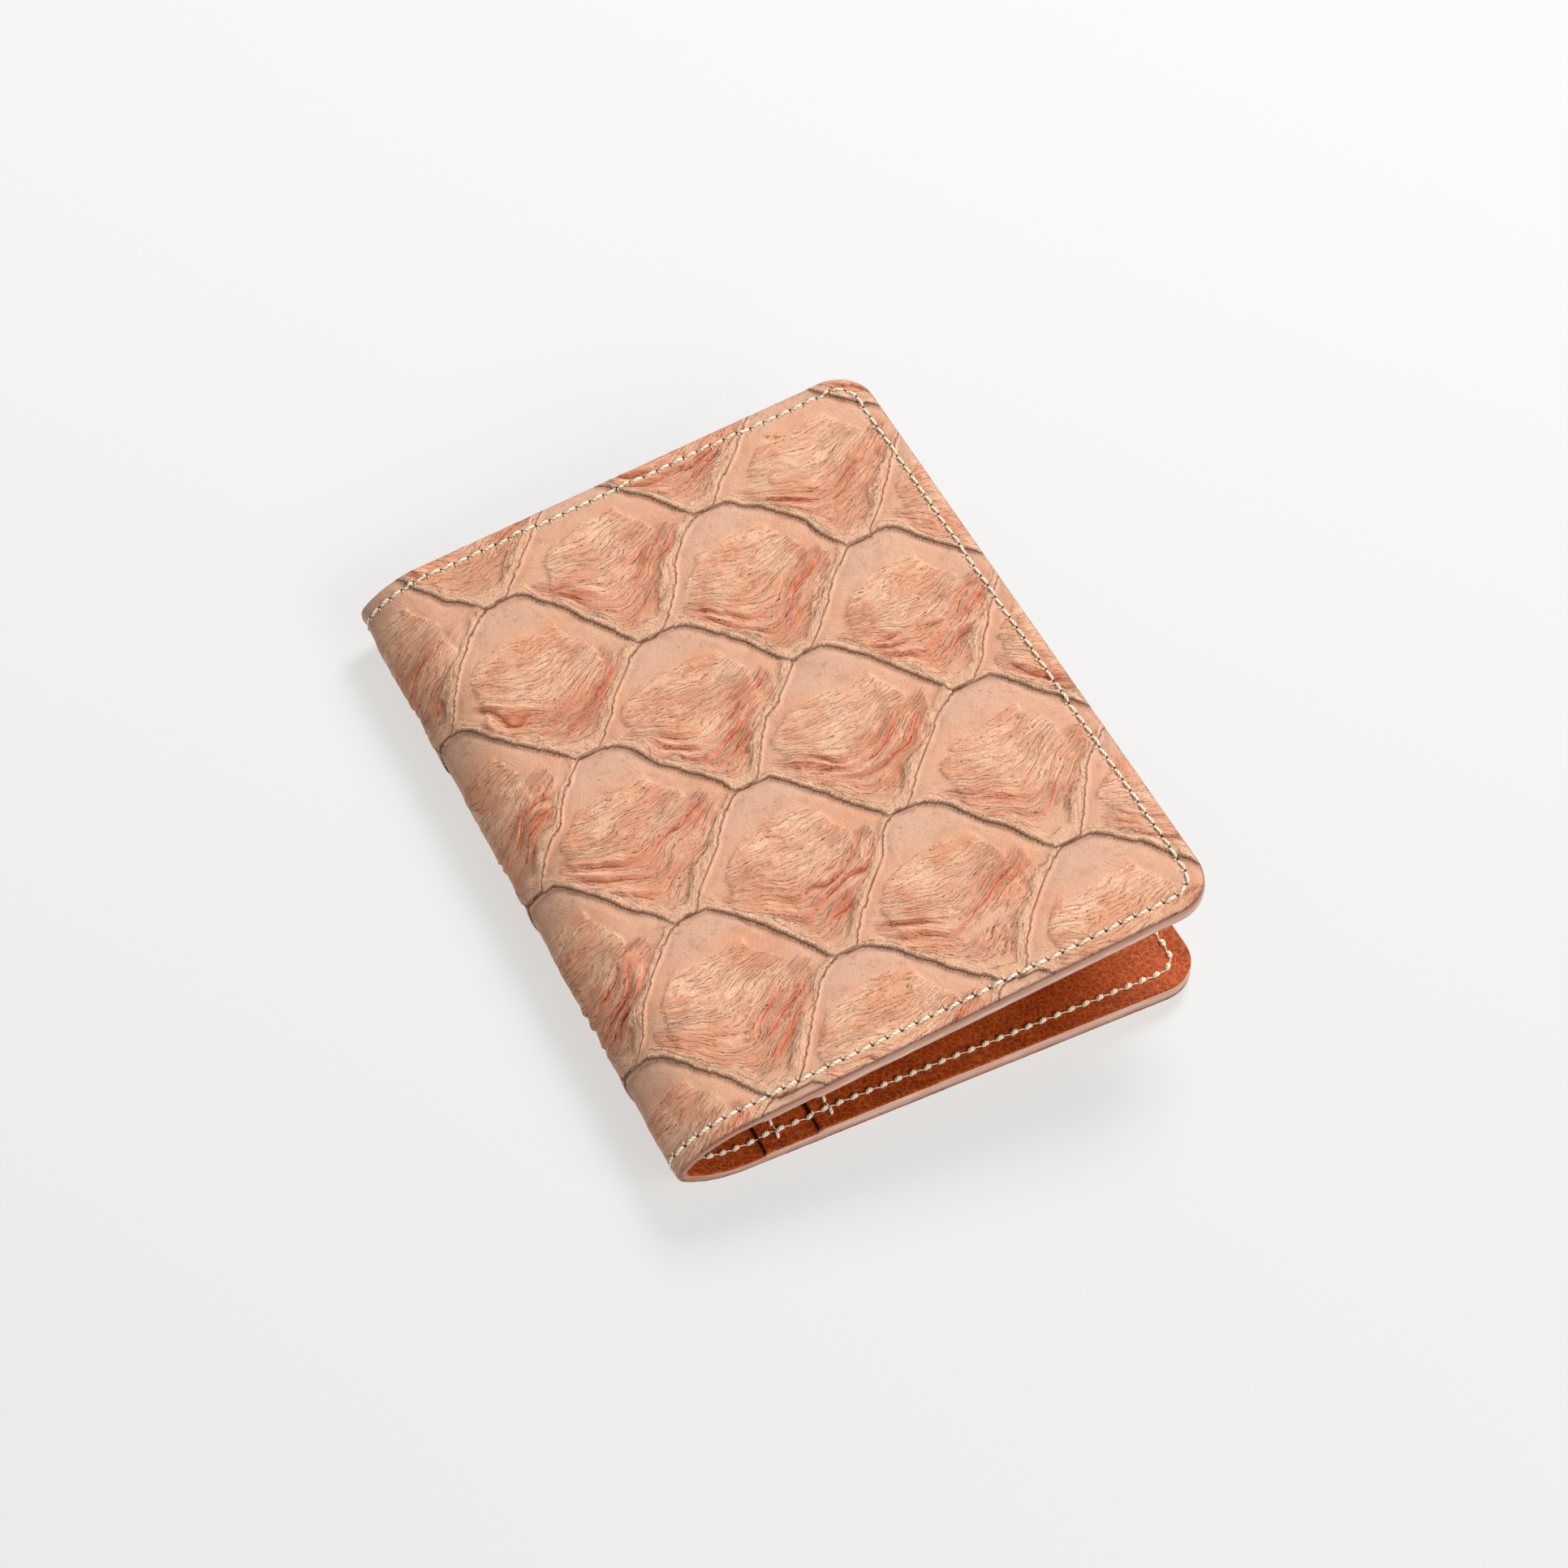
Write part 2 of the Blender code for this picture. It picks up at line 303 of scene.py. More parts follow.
def scales(t, y):
    """(across, below, up, down, end, number) of points in the pattern of scales.

    across and below are measured from the middle of the scale's top, up and down are the distances
    to the scale edges above and below, end is how far along its fall the lower edge is, and number
    tells one scale from another.
    """
    shift_t, shift_y = 0.0, 0.0
    for seed, (size, length) in enumerate(UNEVENNESS, 11):
        shift_t = shift_t + size * noise(t / length, y / length, seed)
        shift_y = shift_y + size * noise(t / length, y / length, seed + 4)
    t, y = t + shift_t, y + shift_y
    column = np.floor((t - FIRST_COLUMN) / COLUMN_STEP)
    found = []
    for side in (0, 1):
        here = column + side
        across = t - FIRST_COLUMN - here * COLUMN_STEP
        top = np.where(here % 2 == 0, EVEN_TOP, ODD_TOP)
        below_top = np.where(here % 2 == 0, ODD_TOP, EVEN_TOP - ROW_STEP)
        rise, slope, share = arch(across, top - below_top - ARCH_ABOVE)
        rows = (top + rise - y) / ROW_STEP
        gap = (rows - np.floor(rows)) * ROW_STEP
        steep = np.sqrt(1.0 + slope**2)
        number = here * 17 + np.floor(rows) * 5
        found.append((gap, across, gap - rise, gap / steep, (ROW_STEP - gap) / steep, share, number))
    first, second = found
    owner = first[0] < second[0]
    across, below, number = (np.where(owner, first[i], second[i]) for i in (1, 2, 6))
    up = np.minimum(first[3], second[3])
    down = np.minimum(first[4], second[4])
    end = np.where(first[4] < second[4], first[5], second[5])
    return across, below, up, down, end, number


def fan_shape(across, below, uneven, odd):
    """(share, right side) of the raised fan in a scale."""
    left = -8.0 - 5.5 * smooth(below, 8.0, 15.0) - 1.2 * odd + 0.8 * uneven
    right = 6.5 + 3.4 * smooth(below, 9.0, 17.0) + 1.0 * odd + 0.7 * uneven
    top = 8.0 + 0.015 * across**2 - 0.8 * odd + 1.1 * uneven
    share = smooth(across, left - 0.4, left + 0.7) * smooth(across, right + 0.3, right - 0.4)
    return share * smooth(below, top - 0.9, top + 1.6) * smooth(below, 31.0, 24.0), right


def fold_level(side, across, below, patch):
    """A measure that stays the same along each fold; the folds rise towards both sides of a scale."""
    spread = np.sqrt(side**2 + 9.0) - 3.0
    steepest = np.where(side < 0, 0.85, 0.66)
    wave = 0.8 * noise(across / 8.0 + patch, below / 7.0, 22)
    wave += 0.22 * noise(across / 3.0 + patch, below / 2.5, 23)
    return below + steepest * spread * smooth(below + 0.5 * spread, 14.0, 26.0) + wave


def fold_shape(side, across, level, patch):
    """(force, turn) of the folds. turn grows by one from each fold to the next."""
    force = smooth(noise(across / 8.0 + patch, level / 3.6, 25), -0.5, 0.3)
    force = force * (1.0 - 0.5 * np.exp(-((side / 3.5) ** 2)))
    turn = level / TERRACE_PITCH + 0.6 * noise(across / 6.0 + patch, level / 5.0, 26)
    return force, turn + 0.5 * smooth(side, -3.0, 3.0)


def skin_relief(t, y):
    """(height, masks) of the outer leather. Height is outward from its middle surface.

    Each scale has a raised fan with folds under it that step down, away from the scale's top. masks
    holds what the material paints: the fan, the folds, their redness, the places along and across
    them, the scale's edge and the ridge beside it.
    """
    across, below, up, down, end, number = scales(t, y)
    near = np.minimum(up, down)
    patch = number * 3.7
    uneven = noise(across / 5.0 + patch, below / 5.0, 21)
    odd = noise(patch, patch * 0.7, 28)
    away = smooth(near, 0.5, 2.4)

    fan, fan_right = fan_shape(across, below, uneven, odd)
    fan *= away
    side = across + 3.0
    level = fold_level(side, across, below, patch)
    streak = noise(across / 9.0 + patch, level / 1.25, 24)
    fold = smooth(level, 21.5, 25.5) * smooth(below, 35.5, 31.0) * smooth(below, 16.0, 20.0) * away
    fold = fold * smooth(across, -15.5 - odd, -12.5 - odd) * smooth(across, 13.5 + odd, 10.5 + odd)
    force, turn = fold_shape(side, across, level, patch)
    step = turn - np.floor(turn)
    terrace = smooth(step, 0.0, 0.78) * smooth(step, 1.0, 0.78)

    ragged = noise(t / 1.9, y / 1.9, 31)
    width = 1.25 + 1.5 * smooth(end, 0.45, 0.95) + 0.7 * noise(t / 5.0, y / 5.0, 32) + 0.35 * ragged
    band = smooth(down, width + 0.8, width - 0.3)
    brink = smooth(up, 0.42, 0.0)
    ridge = np.clip(np.maximum(band * brink + band, brink), 0.0, 1.0)
    swell = np.maximum(smooth(down, 5.0, 0.5), smooth(up, 0.6, 0.0))

    height = 0.12 * swell + RIDGE_HEIGHT * (0.85 + 0.35 * ragged) * ridge
    height -= 0.15 * smooth(up, 2.4, 0.3) * (1.0 - ridge)
    height += fan * (FAN_HEIGHT + 0.08 * streak)
    height = height + fold * force * (TERRACE_HEIGHT * terrace - 0.32) + fold * 0.05 * streak
    height = height + 0.12 * noise(t / 8.0, y / 8.0, 33) + 0.02 * noise(t / 1.1, y / 1.1, 34)

    crack = np.exp(-(((across - fan_right) / 0.35) ** 2))
    crack = crack * smooth(below, 9.5, 12.0) * smooth(below, 21.0, 18.0)
    crack *= smooth(noise(across / 3.0 + patch, below / 3.0, 27), -0.5, 0.1)
    height -= 0.08 * crack * away

    red = smooth(level, 21.0, 29.0) * smooth(below, 38.0, 31.0)
    red *= 0.7 + 0.7 * noise(t / 5.0, y / 5.0, 35)
    red = red * smooth(across, -17.0, -13.0) * smooth(across, 14.5, 10.5)
    signed = np.where(up < down, -up, down)
    masks = {
        "zone": (fan, fold * force, np.clip(red * away, 0, 1)),
        "flow": (across + patch * 5.0, level, turn),
        "edge": (np.clip(signed, -8, 8), np.minimum(near, 8), width),
        # spot: the scale's right side, where the material's painted shade and shadow line under the edge
        # are strongest, the fan's crack, and the scale's brow
        "spot": (smooth(across, -9.0, 3.0), crack * away, smooth(below, 10.0, 3.0)),
    }
    return height, masks


# ---- Mesh building ----


def add_object(name, data):
    made = bpy.data.objects.new(name, data)
    bpy.context.scene.collection.objects.link(made)
    return made


def add_mesh(name, points, faces, material, sharp=50.0):
    """A piece shaded smooth, apart from edges sharper than this many degrees."""
    mesh = bpy.data.meshes.new(name)
    mesh.from_pydata(points.tolist(), [], faces)
    mesh.materials.append(material)
    mesh.update()
    mesh.shade_smooth()
    mesh.set_sharp_from_angle(angle=math.radians(sharp))
    return add_object(name, mesh)


def add_attribute(piece, name, columns):
    """Stores up to three values for each vertex, for the material to read."""
    data = np.zeros((len(piece.data.vertices), 3), np.float32)
    for i, values in enumerate(columns):
        data[:, i] = np.ravel(values)
    attribute = piece.data.attributes.new(name, "FLOAT_VECTOR", "POINT")
    attribute.data.foreach_set("vector", data.ravel())


def quads(a, b, c, d):
    """Four-cornered faces from four arrays of points' numbers."""
    return np.stack([a, b, c, d], -1).reshape(-1, 4).tolist()


def stations(length, step, fine_start, fine_end):
    """Distances from 0 to length: close together at the ends, then step apart."""
    middle_start, middle_end = fine_start[-1], length - fine_end[-1]
    count = max(1, round((middle_end - middle_start) / step))
    middle = np.linspace(middle_start, middle_end, count + 1)
    return np.concatenate([fine_start[:-1], middle, length - np.array(fine_end[:-1])[::-1]])


def corner_stations(step):
    """Values of e round a corner, from the free edge, an even distance apart along its arc."""
    count = round(CORNER_RADIUS * math.pi / 2 / step)
    return CORNER_RADIUS * (1.0 - np.cos(np.linspace(0.0, math.pi / 2, count + 1)))


ROLL_STATIONS = (0.0, 0.04, 0.14, 0.3, 0.5, 0.75, 1.05, 1.4, 1.8)


class SheetGrid:
    """Rows of points over a cover's sheet, from a straight end row to the rounded free edge."""

    def __init__(self, cover, end_e, step, end_stations=(0.0, 0.05), inset=0.0):
        corner = corner_stations(step)
        straight = stations(end_e - CORNER_RADIUS, step, end_stations, (0.0,))
        rows_e = np.concatenate([end_e - straight, corner[::-1][1:]])
        columns_y = stations(HEIGHT, step, ROLL_STATIONS, ROLL_STATIONS)
        self.cover = cover
        self.shape = (len(rows_e), len(columns_y))
        self.number = np.arange(len(rows_e) * len(columns_y)).reshape(self.shape)
        # The outline's points, from the end row's near side round to its far side
        ends = self.number[:, 0], self.number[-1, 1:-1], self.number[::-1, -1]
        self.loop = np.concatenate(ends)
        drop = roll(rows_e, CORNER_RADIUS)[:, None]
        self.e = np.repeat(rows_e[:, None], len(columns_y), axis=1)
        self.y = drop + (columns_y / HEIGHT)[None, :] * (HEIGHT - 2 * drop)
        self.rim = rim_distance(self.e, self.y)
        if inset:
            self.pull_in(inset)

    def pull_in(self, inset):
        """Moves the outline in by inset, and the points near it less and less."""
        reach = 6.0
        share = np.clip(1.0 - self.rim / reach, 0.0, 1.0) ** 2
        side, in_corner = end_distance(self.e, self.y)
        to_e = np.where(in_corner, CORNER_RADIUS - self.e, np.where(self.e < side, 1.0, 0.0))
        to_y = np.where(in_corner, CORNER_RADIUS - side, np.where(self.e < side, 0.0, 1.0))
        size = np.maximum(np.hypot(to_e, to_y), 1e-9)
        self.e = self.e + inset * share * to_e / size
        self.y = self.y + inset * share * to_y / size * np.where(self.y < HEIGHT / 2, 1.0, -1.0)

    def with_rings(self, values, steps):
        """Values of the face's points, and then for each ring the outline's plus a step."""
        values = np.broadcast_to(values, self.shape).ravel()
        return np.concatenate([values, *[values[self.loop] + step for step in steps]])

    def outward(self):
        """(e, y) directions that point out of the sheet at the outline's points."""
        e, y = self.e.ravel()[self.loop], self.y.ravel()[self.loop]
        side = np.minimum(y, HEIGHT - y)
        out_e = -np.clip(CORNER_RADIUS - e, 0.0, None)
        out_y = -np.clip(CORNER_RADIUS - side, 0.0, None)
        size = np.hypot(out_e, out_y)
        return out_e / size, out_y / size * np.where(y < HEIGHT / 2, 1.0, -1.0)


def sheet_mesh(name, grid, depth, rings, material, flip):
    """A closed sheet. depth is that of the grid's face, and rings are the (outward, depth) of the
    lines that carry its outline round to the flat other side."""
    cover = grid.cover
    loop, number = grid.loop, grid.number
    loop_e, loop_y = grid.e.ravel()[loop], grid.y.ravel()[loop]
    out_e, out_y = grid.outward()
    points = [place(cover.s(grid.e), grid.y, depth).reshape(-1, 3)]
    for out, ring_depth in rings:
        points.append(place(cover.s(loop_e + out * out_e), loop_y + out * out_y, ring_depth))
    faces = quads(number[:-1, :-1], number[:-1, 1:], number[1:, 1:], number[1:, :-1])
    rows, size = len(number), len(loop)
    starts = [number.size + size * i for i in range(len(rings))]
    lines = [loop] + [np.arange(start, start + size) for start in starts]
    for here, after in zip(lines, lines[1:]):
        faces += quads(here[:-1], here[1:], after[1:], after[:-1])
    last = lines[-1]
    near, far = last[:rows], last[::-1][:rows]
    faces += quads(near[:-1], near[1:], far[1:], far[:-1])[: rows - 2]
    faces.append([near[-2], *last[rows - 1 : size - rows + 1].tolist(), far[-2]])
    cap = list(number[0, ::-1]) + [line[0] for line in lines[1:]] + [line[-1] for line in lines[:0:-1]]
    faces.append([int(i) for i in cap])
    if flip:
        faces = [face[::-1] for face in faces]
    return add_mesh(name, np.concatenate(points), faces, material)


# ---- Materials ----


def linear(red, green, blue):
    """Shader colour for a colour as it shows on a screen, 0 to 255."""
    shown = [value / 255 for value in (red, green, blue)]
    return tuple(v / 12.92 if v <= 0.04045 else ((v + 0.055) / 1.055) ** 2.4 for v in shown) + (1.0,)


class Nodes:
    """Short ways to add the nodes of one material."""

    def __init__(self, name):
        self.material = bpy.data.materials.new(name)
        self.material.use_nodes = True
        self.tree = self.material.node_tree
        self.shader = self.tree.nodes["Principled BSDF"]

    def fill(self, node, inputs):
        """Sets or links a node's inputs, given by name or number. None leaves one as it is."""
        for key, value in inputs.items():
            if isinstance(value, bpy.types.NodeSocket):
                self.tree.links.new(value, node.inputs[key])
            elif value is not None:
                node.inputs[key].default_value = value

    def new(self, kind, inputs, **settings):
        """The outputs of a new node."""
        node = self.tree.nodes.new("ShaderNode" + kind)
        for name, value in settings.items():
            setattr(node, name, value)
        self.fill(node, inputs)
        return node.outputs

    def math(self, operation, a, b=0.0):
        return self.new("Math", {0: a, 1: b}, operation=operation)[0]

    def plus(self, a, b):
        return self.math("ADD", a, b)

    def minus(self, a, b):
        return self.math("SUBTRACT", a, b)

    def times(self, a, b):
        return self.math("MULTIPLY", a, b)

    def most(self, a, b):
        return self.math("MAXIMUM", a, b)

    def apart(self, a, b):
        return self.math("ABSOLUTE", self.minus(a, b))

    def ramp(self, value, start, end, low=0.0, high=1.0):
        """A smooth change from low at start to high at end."""
        inputs = {0: value, 1: start, 2: end, 3: low, 4: high}
        return self.new("MapRange", inputs, interpolation_type="SMOOTHSTEP")[0]

    def mix(self, share, a, b):
        return self.new("Mix", {"Factor": share, 6: a, 7: b}, data_type="RGBA")[2]

    def paint(self, colour, *layers):
        """The colour under layers of (share, colour), the lowest first."""
        for share, tint in layers:
            colour = self.mix(share, colour, tint)
        return colour

    def split(self, name):
        """The three parts of a vertex attribute, and the attribute itself."""
        vector = self.new("Attribute", {}, attribute_name=name)["Vector"]
        return *self.new("SeparateXYZ", {0: vector}), vector

    def place(self):
        """The point's place in millimetres."""
        return self.stretch(self.new("TexCoord", {})["Object"], (1000.0, 1000.0, 1000.0))

    def stretch(self, vector, scale):
        return self.new("VectorMath", {0: vector, 1: scale}, operation="MULTIPLY")[0]

    def join(self, x, y):
        return self.new("CombineXYZ", {0: x, 1: y})[0]

    def shift(self, vector, where, size, amount):
        """The vector moved by up to half of amount, with a random change every size millimetres."""
        change = self.new("TexNoise", {"Vector": where, "Scale": 1.0 / size})["Color"]
        inputs = {0: change, 1: (amount, amount, amount), 2: vector}
        return self.new("VectorMath", inputs, operation="MULTIPLY_ADD")[0]

    def noise(self, vector, size, detail=3.0, roughness=0.55):
        inputs = {"Vector": vector, "Scale": 1.0 / size, "Detail": detail, "Roughness": roughness}
        return self.new("TexNoise", inputs)["Fac"]

    def cells(self, vector, size):
        """Distance to the edge of cells of about this size."""
        inputs = {"Vector": vector, "Scale": 1.0 / size}
        return self.new("TexVoronoi", inputs, feature="DISTANCE_TO_EDGE")["Distance"]

    def bump(self, height, distance, strength=1.0, normal=None):
        """A height field, with the height of a step of 1 in millimetres."""
        inputs = {"Height": height, "Distance": distance / 1000, "Strength": strength}
        return self.new("Bump", {**inputs, "Normal": normal})[0]

    def finish(self, colour, roughness, normal=None, specular=0.5, sheen=0.0):
        self.fill(self.shader, {"Base Color": colour, "Roughness": roughness, "Normal": normal})
        self.fill(self.shader, {"Specular IOR Level": specular, "Sheen Weight": sheen})
        return self.material


FLAT_COLOUR = linear(219, 167, 135)
BROW_COLOUR = linear(215, 168, 140)
FAN_AND_HIGHLIGHT_COLOUR = linear(242, 192, 156)
WARM_COLOUR = linear(225, 154, 117)
RED_AND_SHADE_COLOUR = linear(206, 118, 84)
DEEP_RED_SHADE_COLOUR = linear(172, 88, 60)
RIDGE_COLOUR = linear(230, 181, 146)
CREASE_SHADE_COLOUR = linear(128, 78, 52)
BRUISE_AND_SHADE_COLOUR = linear(158, 112, 90)
SPLIT_COLOUR = linear(150, 98, 70)
RAW_EDGE_COLOUR = linear(128, 82, 64)
HOLE_SHADE_COLOUR = linear(66, 42, 30)
COGNAC_COLOUR = linear(146, 58, 17)
PALE_COGNAC_COLOUR = linear(170, 73, 26)
DARK_COGNAC_COLOUR = linear(126, 46, 16)
VEIN_COLOUR = linear(224, 128, 66)
MOUTH_SHADE_COLOUR = linear(52, 20, 8)


def scale_leather():
    """Matt large-scale hide: pale fans, red folds with painted highlights and shade, painted shade in
    the creases beside the ridges, fine streaks.
    """
    n = Nodes("scale_leather")
    fan, fold, red, _ = n.split("zone")
    flow_along, _, turn, flow = n.split("flow")
    line, near, width, _ = n.split("edge")
    lit, split_line, brow, _ = n.split("spot")
    rim, phase, _, _ = n.split("seam")
    where = n.place()

    crinkled = n.shift(flow, where, 0.9, 0.7)
    streaks = n.noise(n.stretch(crinkled, (0.14, 0.75, 0.0)), 1.0, 2.0, 0.5)
    hairs = n.noise(n.stretch(crinkled, (0.40, 1.9, 0.0)), 1.0, 3.0, 0.6)
    ridge_flow = n.join(n.times(flow_along, 0.5), n.times(line, 1.6))
    splits = n.noise(ridge_flow, 1.0, 3.0, 0.6)
    cloud = n.noise(where, 7.0, 3.0, 0.5)
    patchy = n.noise(where, 3.2, 3.0, 0.55)
    grain = n.noise(where, 0.5, 3.0, 0.6)
    speck = n.noise(where, 1.3, 4.0, 0.7)
    furrow = n.ramp(n.apart(streaks, 0.5), 0.0, 0.075)
    hair_furrow = n.ramp(n.apart(hairs, 0.5), 0.0, 0.10)
    wrinkled = n.most(fan, n.ramp(red, 0.0, 0.3))

    # Each fold: a painted highlight on its lip, painted shade on its drop, which is red as well, and a
    # painted shade line, deep red as well, in its crease
    step = n.math("FRACT", turn)
    drop = n.most(n.ramp(step, 0.45, 0.82), n.ramp(step, 0.20, 0.0))
    drop = n.times(drop, fold)
    lip = n.times(n.ramp(step, 0.25, 0.6), n.ramp(step, 0.75, 0.62))
    lip = n.times(lip, fold)
    fold_line = n.ramp(n.apart(step, 0.955), 0.04, 0.01)
    fold_line = n.times(fold_line, n.ramp(fold, 0.45, 0.9))

    # The ground, the fan and the folds, with the folds' painted highlights and shade and painted shade
    # along the fine wrinkles
    fan_tone = n.paint(
        FAN_AND_HIGHLIGHT_COLOUR,
        (n.ramp(cloud, 0.42, 0.62, 0.0, 0.7), WARM_COLOUR),
        (n.ramp(streaks, 0.44, 0.32, 0.0, 0.5), WARM_COLOUR),
    )
    freckle = n.times(n.ramp(speck, 0.54, 0.68), n.ramp(brow, 0.0, 1.0, 0.15, 0.6))
    freckle = n.times(freckle, n.ramp(cloud, 0.42, 0.55, 0.15, 1.0))
    colour = n.paint(
        FLAT_COLOUR,
        (n.ramp(cloud, 0.42, 0.70, 0.0, 0.5), WARM_COLOUR),
        (n.ramp(brow, 0.0, 1.0, 0.0, 0.9), BROW_COLOUR),
        (n.ramp(patchy, 0.48, 0.30, 0.0, 0.22), BRUISE_AND_SHADE_COLOUR),
        (fan, fan_tone),
        (n.times(red, n.ramp(patchy, 0.3, 0.6, 0.3, 0.8)), WARM_COLOUR),
        # painted highlight on each fold's lip, then painted shade on its drop, in its crease and along
        # the fine wrinkles, all partly the leather's own red
        (n.times(lip, 0.6), FAN_AND_HIGHLIGHT_COLOUR),
        (n.times(drop, n.ramp(patchy, 0.35, 0.6, 0.5, 1.0)), RED_AND_SHADE_COLOUR),
        (n.times(fold_line, 0.8), DEEP_RED_SHADE_COLOUR),
        (n.times(n.minus(1.0, furrow), n.ramp(wrinkled, 0.0, 1.0, 0.0, 0.40)), RED_AND_SHADE_COLOUR),
        (freckle, BRUISE_AND_SHADE_COLOUR),
    )

    # The ridge along a scale's lower edge. line is the distance to that edge, negative below it,
    # and one_sided is 0 where line changes sign between two edges.
    one_sided = n.ramp(n.minus(near, n.math("ABSOLUTE", line)), 0.7, 0.3)
    on_ridge = n.times(n.ramp(line, 0.0, 0.3), n.ramp(n.minus(line, width), 0.5, -0.2))
    on_ridge = n.times(on_ridge, one_sided)
    split_ridge = n.ramp(n.apart(splits, 0.47), 0.03, 0.0)
    split_ridge = n.times(split_ridge, n.times(on_ridge, n.ramp(patchy, 0.42, 0.55, 0.15, 0.9)))

    # Painted shade in the crease below the ridge and a painted shadow line along the ridge's edge, both
    # strongest on the scale's right side, painted shade in the fan's crack, and painted shade in the
    # pits along the ridge's upper side
    shade = n.times(n.ramp(line, -1.7, -0.1), n.ramp(line, 0.15, 0.0))
    shade = n.times(shade, n.ramp(lit, 0.0, 1.0, 0.08, 0.32))
    beside = n.math("ABSOLUTE", n.plus(line, 0.1))
    crack = n.times(n.ramp(beside, 0.16, 0.04), one_sided)
    strong = n.times(n.ramp(speck, 0.36, 0.52, 0.5, 1.0), n.ramp(lit, 0.0, 1.0, 0.45, 0.9))
    crack = n.times(crack, strong)
    crack = n.most(crack, n.times(split_line, n.ramp(speck, 0.4, 0.55, 0.0, 0.32)))
    far_side = n.apart(line, width)
    pit_shade = n.times(n.ramp(far_side, 0.24, 0.05), n.ramp(speck, 0.42, 0.54))
    pit_shade = n.times(pit_shade, n.times(one_sided, 0.6))

    # The cut edge, and painted shade in the stitch holes
    worn = n.times(n.ramp(rim, 0.8, -0.2), n.ramp(speck, 0.42, 0.6, 0.1, 0.6))
    raw = n.ramp(n.plus(rim, n.times(speck, 0.9)), 0.75, 0.5, 0.0, 0.85)
    hole_side = n.math("DIVIDE", n.minus(rim, OUTSIDE_INSET), 0.34)
    hole_along = n.math("DIVIDE", phase, 0.27)
    hole = n.plus(n.times(hole_side, hole_side), n.times(hole_along, hole_along))
    hole = n.ramp(hole, 1.3, 0.5)
    colour = n.paint(
        colour,
        (n.times(on_ridge, 0.75), RIDGE_COLOUR),
        (split_ridge, SPLIT_COLOUR),
        # painted shade below the ridge, then the painted shadow lines in the crease, the fan's crack and
        # the pits
        (n.times(shade, one_sided), BRUISE_AND_SHADE_COLOUR),
        (n.most(crack, pit_shade), CREASE_SHADE_COLOUR),
        (worn, BRUISE_AND_SHADE_COLOUR),
        (raw, RAW_EDGE_COLOUR),
        (hole, HOLE_SHADE_COLOUR),
    )

    # Fine relief
    furrows = n.times(n.minus(furrow, 1.0), n.ramp(wrinkled, 0.0, 1.0, 0.05, 1.0))
    hair_height = n.times(n.minus(hair_furrow, 1.0), n.ramp(wrinkled, 0.0, 1.0, 0.3, 1.0))
    long_swell = n.times(n.minus(streaks, 0.5), n.ramp(wrinkled, 0.0, 1.0, 0.1, 1.0))
    normal = n.bump(long_swell, 1.05, 1.0)
    normal = n.bump(furrows, 0.11, 1.0, normal)
    normal = n.bump(hair_height, 0.05, 1.0, normal)
    uneven = n.minus(n.plus(speck, splits), 1.0)
    rough_ridge = n.times(uneven, n.ramp(on_ridge, 0.0, 1.0, 0.2, 1.0))
    normal = n.bump(rough_ridge, 0.32, 1.0, normal)
    dents = n.most(n.most(crack, hole), fold_line)
    normal = n.bump(n.minus(grain, dents), 0.10, 1.0, normal)
    return n.finish(colour, n.ramp(hairs, 0.3, 0.7, 0.64, 0.52), normal, specular=0.3, sheen=0.05)


def inner_leather():
    """Smooth cognac calf: a fine net of lighter veins over a darker ground."""
    n = Nodes("inner_leather")
    where = n.place()
    bent = n.shift(where, where, 1 / 1.2, 1.0)
    veins = n.cells(bent, 1.15)
    fine = n.cells(bent, 0.5)
    cloud = n.noise(where, 6.0, 3.0)
    mottle = n.noise(where, 0.9, 4.0, 0.65)
    past_mouth, _, _, _ = n.split("mouth")
    colour = n.paint(
        COGNAC_COLOUR,
        (n.ramp(cloud, 0.35, 0.65), PALE_COGNAC_COLOUR),
        (n.ramp(mottle, 0.4, 0.65, 0.0, 0.55), DARK_COGNAC_COLOUR),
        (n.ramp(veins, 0.10, 0.0, 0.0, 0.42), VEIN_COLOUR),
        # painted shade along the line of the mouth of the pocket that covers this leather
        (n.ramp(n.math("ABSOLUTE", past_mouth), 0.9, 0.1, 0.0, 0.9), MOUTH_SHADE_COLOUR),
    )
    normal = n.bump(n.math("MINIMUM", n.times(veins, 2.0), 0.5), 0.05, 0.6)
    normal = n.bump(fine, 0.05, 0.5, normal)
    return n.finish(colour, n.ramp(mottle, 0.3, 0.7, 0.5, 0.62), normal, specular=0.1)


def edge_paint():
    """Burnished edge: layers run along it under a thin, slightly glossy coat."""
    n = Nodes("edge_paint")
    across, _, by_fold, along = n.split("edge")
    layers = n.noise(n.stretch(along, (2.4, 0.12, 0.0)), 1.0, 4.0, 0.6)
    cloud = n.noise(n.place(), 5.0, 3.0)
    in_layer = n.ramp(layers, 0.35, 0.65)
    pale = n.mix(in_layer, linear(188, 148, 130), linear(208, 172, 156))
    brown = n.mix(in_layer, linear(158, 114, 94), linear(182, 140, 120))
    colour = n.paint(
        brown,
        (n.ramp(across, 0.7, 1.5), pale),
        (n.ramp(cloud, 0.45, 0.7, 0.0, 0.4), linear(190, 134, 110)),
        (n.ramp(by_fold, 0.0, 1.0, 0.0, 0.6), linear(146, 108, 84)),
        (n.ramp(across, 0.4, 0.0, 0.0, 0.85), linear(104, 66, 50)),
    )
    normal = n.bump(layers, 0.12, 0.6)
    return n.finish(colour, n.ramp(layers, 0.3, 0.7, 0.5, 0.38), normal, specular=0.45)


